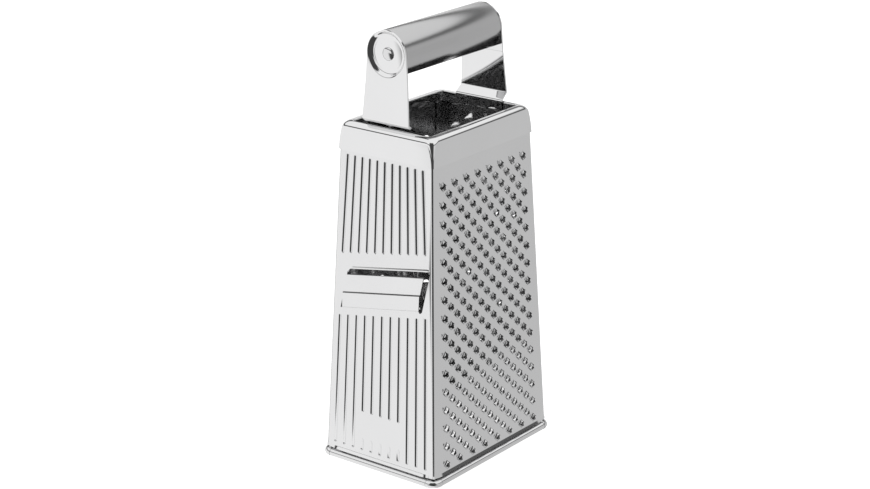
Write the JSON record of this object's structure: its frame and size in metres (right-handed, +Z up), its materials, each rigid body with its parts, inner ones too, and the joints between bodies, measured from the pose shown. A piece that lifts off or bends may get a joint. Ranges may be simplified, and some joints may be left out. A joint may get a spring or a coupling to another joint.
{
  "type": "box grater",
  "caption": "Four-sided steel box grater with slicing, fine, coarse and zesting faces, a pressed collar and a tube grip on cranked brackets.",
  "frame": {"origin": "on the table under the middle of the foot frame", "axes": "+X along the grip towards the zesting face, +Y across towards the coarse face, +Z up; the slicing face looks to -X and the fine face to -Y"},
  "size_m": [0.1116, 0.083, 0.25],
  "materials": {
    "panel_steel": "bright rolled stainless sheet",
    "collar_steel": "polished stainless",
    "bracket_steel": "polished stainless strip",
    "grip_steel": "brushed along the tube",
    "rod_steel": "bright peened rod end"
  },
  "bodies": {
    "root": {"slicer_panel": "panel_steel", "fine_grating_panel": "panel_steel", "coarse_grating_panel": "panel_steel", "zester_panel": "panel_steel", "top_collar": "collar_steel", "base_rim": "collar_steel", "left_handle_bracket": "bracket_steel", "right_handle_bracket": "bracket_steel", "grip_tube": "grip_steel", "tie_rod": "rod_steel"}
  },
  "joints": []
}
